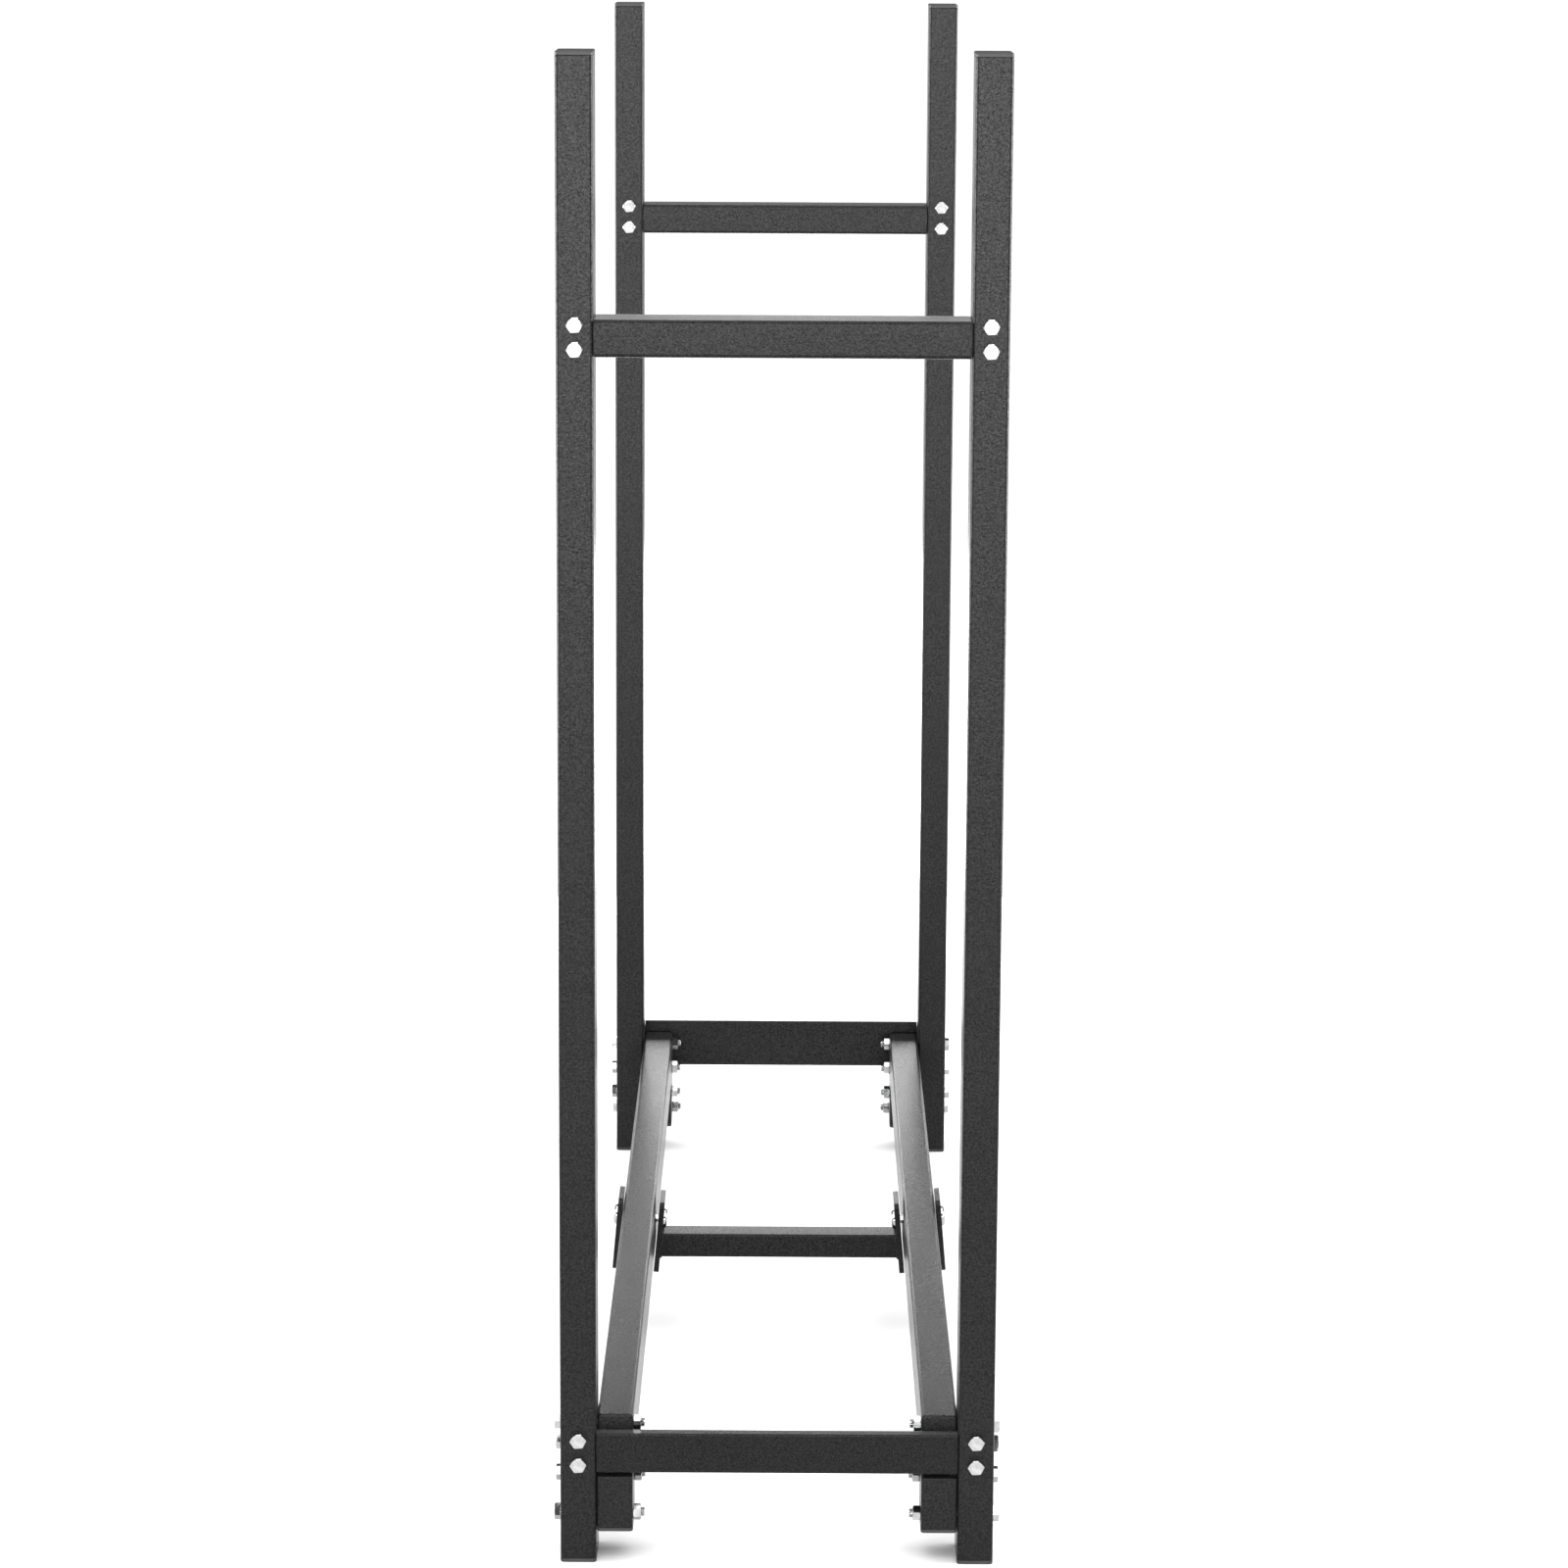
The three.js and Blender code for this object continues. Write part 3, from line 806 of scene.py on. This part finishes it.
def bolt_mesh(grip):
    """A bolt along +Z whose head bears on z = 0, long enough to clamp grip with a nut."""
    waist = grip / 4
    end = grip + NUT_HEIGHT + THREAD_SHOWN
    start = end - min(THREAD_LENGTH, end - waist - MM)
    rings = [
        raised(circle(FACE_RADIUS * FACE_RING, HEX_STEPS), -HEAD_HEIGHT),
        raised(circle(FACE_RADIUS, HEX_STEPS), -HEAD_HEIGHT),
        raised(HEXAGON, [drop - HEAD_HEIGHT for drop in HEX_DROP]),
        raised(HEXAGON, -BEARING),
        raised(circle(FACE_RADIUS, HEX_STEPS), -BEARING),
        raised(circle(FACE_RADIUS, HEX_STEPS), 0.0),
        raised(circle(BOLT_RADIUS, HEX_STEPS), 0.0),
        raised(circle(SHANK, HEX_STEPS), waist),
        raised(circle(SHANK, HEX_STEPS), start),
    ]
    turns = (end - start) / THREAD_PITCH
    count = math.ceil(turns * THREAD_STEPS)
    for index in range(1, count + 1):
        z = start + (end - start) * index / count
        fade = min(1.0, (z - start) / THREAD_PITCH)
        points = []
        for angle in HEX_ANGLES:
            wave = math.cos(2 * math.pi * z / THREAD_PITCH - angle)
            radius = BOLT_RADIUS - THREAD_DEPTH * fade * (0.5 - 0.5 * wave)
            radius = min(radius, BOLT_RADIUS - THREAD_DEPTH + (end - z))
            points.append((radius * math.cos(angle), radius * math.sin(angle)))
        rings.append(raised(points, z))
    bm = bmesh.new()
    loft(bm, rings)
    return bm


def nut_mesh():
    """A hexagon nut along +Z, from z = 0, with both faces chamfered."""
    bore, mouth = BOLT_RADIUS + NUT_CLEARANCE, BOLT_RADIUS + NUT_MOUTH
    sink = mouth - bore
    rings = [
        raised(circle(mouth, HEX_STEPS), 0.0),
        raised(circle(FACE_RADIUS, HEX_STEPS), 0.0),
        raised(HEXAGON, HEX_DROP),
        raised(HEXAGON, [NUT_HEIGHT - drop for drop in HEX_DROP]),
        raised(circle(FACE_RADIUS, HEX_STEPS), NUT_HEIGHT),
        raised(circle(mouth, HEX_STEPS), NUT_HEIGHT),
        raised(circle(bore, HEX_STEPS), NUT_HEIGHT - sink),
        raised(circle(bore, HEX_STEPS), sink),
    ]
    bm = bmesh.new()
    loft(bm, rings, closed=True)
    return bm


SOCKET = 5 / 12  # of the hexagon's size
SOCKET_DEPTH = 2.2 * MM
SOCKET_FLOOR_RING = 0.5  # ring in the socket's floor, of the socket's size
SOCKET_MOUTH = 1.1  # of the socket's size
SOCKET_MOUTH_DEPTH = 0.25 * MM
CROWN_RADIUS = 5.5 * MM
CROWN_STEPS = 6
RIM_HEIGHT = 1.2 * MM
RIM_EDGE = 0.2 * MM
SHANK_RADIUS = 3 * MM  # of the bolt inside a sleeve nut
SHANK_CHAMFER = 0.5 * MM
SHANK_TIP = 1 * MM
SLEEVE_CLEARANCE = 0.05 * MM
SLEEVE_FLOOR = 1 * MM


def round_head():
    """Rings of a low domed head with a hexagon socket, from its socket's bottom to its
    bearing face at z = 0."""
    top = -ROUND_HEAD_HEIGHT
    socket = [(x * SOCKET, y * SOCKET) for x, y in HEXAGON]
    mouth = [(x * SOCKET_MOUTH, y * SOCKET_MOUTH) for x, y in socket]
    floor_ring = [(x * SOCKET_FLOOR_RING, y * SOCKET_FLOOR_RING) for x, y in socket]
    rings = [
        raised(floor_ring, top + SOCKET_DEPTH),
        raised(socket, top + SOCKET_DEPTH),
        raised(socket, top + SOCKET_MOUTH_DEPTH),
        raised(mouth, top),
    ]
    for step in range(CROWN_STEPS + 1):
        angle = step / CROWN_STEPS * math.pi / 2
        radius = CROWN_RADIUS + (ROUND_HEAD_RADIUS - CROWN_RADIUS) * math.sin(angle)
        z = top + (ROUND_HEAD_HEIGHT - RIM_HEIGHT) * (1 - math.cos(angle))
        rings.append(raised(circle(radius, HEX_STEPS), z))
    rings.append(raised(circle(ROUND_HEAD_RADIUS, HEX_STEPS), -RIM_EDGE))
    rings.append(raised(circle(ROUND_HEAD_RADIUS - RIM_EDGE, HEX_STEPS), 0.0))
    return rings


def round_bolt_mesh(grip):
    """A round-headed bolt along +Z that ends inside its sleeve nut."""
    bm = bmesh.new()
    tip = SHANK_RADIUS - SHANK_CHAMFER
    shank = [(SHANK_RADIUS, 0.0), (SHANK_RADIUS, grip - SHANK_TIP), (tip, grip)]
    loft(bm, round_head() + [raised(circle(r, HEX_STEPS), z) for r, z in shank])
    return bm


def sleeve_nut_mesh(length):
    """A round-headed sleeve nut along +Z, open at its end."""
    bm = bmesh.new()
    bore = SHANK_RADIUS + SLEEVE_CLEARANCE
    sleeve = [(BOLT_RADIUS, 0.0), (BOLT_RADIUS, length), (bore, length), (bore, SLEEVE_FLOOR)]
    loft(bm, round_head() + [raised(circle(r, HEX_STEPS), z) for r, z in sleeve])
    return bm


def shared_mesh(name, bm):
    """A mesh that several pieces share."""
    holder = to_object(name, bm)
    mesh = holder.data
    shade(mesh)
    mesh.materials.append(FINISHES["zinc"][0])
    bpy.data.objects.remove(holder)
    return mesh


NUT = shared_mesh("nut", nut_mesh())
BOLTS = {}  # by grip, in millimetres

# A nut's turn follows from its bolt's turn and its height, so that nuts differ.
NUT_TURN = 2.4
NUT_TURN_BY_HEIGHT = 7

# Turns of the heads at a post's foot, in degrees: of the first, and from one to the next.
FIRST_HEAD_TURN = {"near": 7, "far": 23}
NEXT_HEAD_TURN = 11

ROUND_BOLT_SHORTER = 2 * MM  # than the distance over both saddle plates
SLEEVE_REACH = 1.2  # length of the sleeve nut, of half that distance


def bolt_for(grip):
    """The shared mesh of the bolts that clamp grip."""
    key = round(grip / MM, 2)
    if key not in BOLTS:
        BOLTS[key] = shared_mesh(f"bolt_{key:.1f}".replace(".", "_"), bolt_mesh(grip))
    return BOLTS[key]


def add_bolt(node, seat, grip, turn):
    """The bolt and nut of a node. seat puts +Z along the bolt, with z = 0 on the face that it
    clamps."""
    spin = Matrix.Rotation(turn, 4, "Z")
    add_piece(node, bolt_for(grip), "zinc", [node], seat @ spin)
    nut_turn = NUT_TURN * turn + seat.translation.z * NUT_TURN_BY_HEIGHT
    nut_spin = Matrix.Rotation(nut_turn, 4, "Z")
    nut_place = seat @ Matrix.Translation((0, 0, grip)) @ nut_spin
    add_piece(f"{node}_nut", NUT, "zinc", [node], nut_place)


def facing_matrix(origin, direction, up=Z):
    """+Z along direction, +X as near to up as it can be."""
    x = (up - direction * up.dot(direction)).normalized()
    y = direction.cross(x)
    rotation = Matrix((x, y, direction)).transposed().to_4x4()
    return Matrix.Translation(origin) @ rotation


def build_corner_bolts():
    """The bolts along X through a post and a rail, or through a post and a foot."""
    for end, side in CORNERS:
        sx = SIDES[side]
        outer = max((corner.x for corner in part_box(f"post_{end}_{side}")), key=abs)
        inner = min((corner.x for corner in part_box(f"base_rail_{side}")), key=abs)
        for index, name in enumerate(RAIL_BOLTS + FOOT_BOLTS):
            node = f"{name}_{end}_{side}"
            middle, _ = middle_and_size(node)
            origin = Vector((outer, middle.y, middle.z))
            turn = math.radians(NEXT_HEAD_TURN * index + FIRST_HEAD_TURN[end])
            seat = facing_matrix(origin, -sx * X)
            add_bolt(node, seat, abs(outer - inner), turn)


def build_crossbar_bolts():
    """The bolts along Y through a post's wall and a crossbar's tongue."""
    grip = WALL + TONGUE_SKIN + TONGUE_THICK
    for bar, end, facing in CROSSBARS:
        face, inward = wall_y(end, facing)
        for side in SIDES:
            for node in crossbar_bolts(bar, end, side):
                middle, _ = middle_and_size(node)
                origin = Vector((middle.x, face, middle.z))
                seat = facing_matrix(origin, inward * Y, up=X)
                add_bolt(node, seat, grip, -inward * HEAD_TURN)


def build_saddle_bolts():
    """The round-headed bolt and sleeve nut through each rail and its saddle plates."""
    reach = PLATE_GAP + PLATE_THICK
    for side, sx in SIDES.items():
        spot = leaning(side) @ Matrix.Translation((sx * reach, 0, SADDLE_BOLT_RISE))
        inwards = (spot.to_3x3() @ (-sx * X)).normalized()
        seat = facing_matrix(spot.translation, inwards)
        node = f"saddle_bolt_{side}"
        bolt = round_bolt_mesh(2 * reach - ROUND_BOLT_SHORTER)
        add_piece(node, moved(bolt, seat), "zinc", [node])
        back = seat @ Matrix.Translation((0, 0, 2 * reach)) @ Matrix.Rotation(math.pi, 4, "X")
        sleeve_nut = sleeve_nut_mesh(SLEEVE_REACH * reach)
        add_piece(f"{node}_nut", moved(sleeve_nut, back), "zinc", [node])


# ---- Floor, lights and camera ----

FLOOR_CELLS = 8  # each way
FLOOR_HALF = 60  # metres from the rack to the floor's edge
HORIZON_TOP, SKY_START = 0.07, 0.21  # heights, as sines, between which the horizon fades
HORIZON_LIGHT, SKY_LIGHT = 0.9, 0.1
OVERHEAD_LIGHT = 3.6
OVERHEAD_ANGLE = math.radians(80)  # wide, so that its shadows are soft


def build_floor():
    """The studio floor, which stands for no node."""
    bm = bmesh.new()
    bmesh.ops.create_grid(bm, x_segments=FLOOR_CELLS, y_segments=FLOOR_CELLS, size=FLOOR_HALF)
    floor = to_object("floor", bm)
    floor.data.materials.append(pale_floor())


def soft_box(name, at, towards, size, watts, beam=180):
    """An area light of a size, in metres, that the camera doesn't see. beam is in degrees."""
    light = bpy.data.lights.new(name, "AREA")
    light.spread = math.radians(beam)
    light.shape, light.size, light.size_y = "RECTANGLE", *size
    light.energy = watts
    lamp = bpy.data.objects.new(name, light)
    lamp.location = at
    lamp.rotation_euler = (Vector(towards) - Vector(at)).to_track_quat("-Z", "Y").to_euler()
    lamp.visible_camera = False
    bpy.context.scene.collection.objects.link(lamp)


def build_world():
    """A pale horizon under a dimmer sky."""
    world = bpy.data.worlds.new("studio")
    bpy.context.scene.world = world
    world.use_nodes = True
    tree = world.node_tree
    direction = tree.nodes.new("ShaderNodeTexCoord")
    height = tree.nodes.new("ShaderNodeSeparateXYZ")
    fade = tree.nodes.new("ShaderNodeMapRange")
    fade.interpolation_type = "SMOOTHSTEP"
    fade.inputs["From Min"].default_value = HORIZON_TOP
    fade.inputs["From Max"].default_value = SKY_START
    fade.inputs["To Min"].default_value = HORIZON_LIGHT
    fade.inputs["To Max"].default_value = SKY_LIGHT
    tree.links.new(direction.outputs["Generated"], height.inputs["Vector"])
    tree.links.new(height.outputs["Z"], fade.inputs["Value"])
    tree.links.new(fade.outputs["Result"], tree.nodes["Background"].inputs["Strength"])
    tree.nodes["Background"].inputs["Color"].default_value = (1, 1, 1, 1)


def build_lights():
    """Soft light from above, and soft boxes in front, above it, beside and low behind."""
    overhead = bpy.data.lights.new("overhead", "SUN")
    overhead.energy = OVERHEAD_LIGHT
    overhead.angle = OVERHEAD_ANGLE
    lamp = bpy.data.objects.new("overhead", overhead)
    bpy.context.scene.collection.objects.link(lamp)

    soft_box("front_box", at=(-0.6, -12.0, 1.6), towards=(0, 0, 1.2), size=(9, 1.7), watts=1080)
    soft_box("high_front_box", at=(0, -6.0, 6.5), towards=(0, 0, 0.6), size=(6, 4), watts=260)
    for side, sx in SIDES.items():
        place, middle = (sx * 1.8, 0, 1.1), (0, 0, 1.1)
        soft_box(f"{side}_box", at=place, towards=middle, size=(2.6, 1.6), watts=46, beam=70)
    soft_box("low_back_box", at=(0, 1.9, 0.25), towards=(0, 0, 0.2), size=(0.9, 0.44), watts=8.6)


CAMERA_PLACE = (5.2 * MM, -4352.8 * MM, 1389.8 * MM)
CAMERA_YAW = math.radians(-0.038)  # to the right
CAMERA_PITCH = math.radians(11.151)  # downwards
CAMERA_ROLL = math.radians(0.307)
FOCAL_LENGTH = 2.9790625  # in picture widths
SENSOR = 36  # millimetres


def build_camera():
    """The camera that sees the rack as the photograph does."""
    data = bpy.data.cameras.new("camera")
    data.sensor_width = SENSOR
    data.lens = FOCAL_LENGTH * SENSOR
    camera = bpy.data.objects.new("camera", data)
    forward = Vector(
        (
            math.sin(CAMERA_YAW) * math.cos(CAMERA_PITCH),
            math.cos(CAMERA_YAW) * math.cos(CAMERA_PITCH),
            -math.sin(CAMERA_PITCH),
        )
    )
    right = Vector((math.cos(CAMERA_YAW), -math.sin(CAMERA_YAW), 0))
    up = right.cross(forward)
    cos, sin = math.cos(CAMERA_ROLL), math.sin(CAMERA_ROLL)
    across, upright = cos * right + sin * up, cos * up - sin * right
    rotation = Matrix((across, upright, -forward)).transposed().to_4x4()
    camera.matrix_world = Matrix.Translation(CAMERA_PLACE) @ rotation
    bpy.context.scene.collection.objects.link(camera)
    bpy.context.scene.camera = camera


build_camera()
for end, side in CORNERS:
    build_post(end, side)
    build_post_caps(end, side)
    build_rail_foot(end, side)
for side in SIDES:
    build_rail(side)
for crossbar in CROSSBARS:
    build_crossbar(*crossbar)
build_tie()
build_corner_bolts()
build_crossbar_bolts()
build_saddle_bolts()
build_floor()
build_world()
build_lights()
bpy.context.scene.view_settings.view_transform = "Standard"
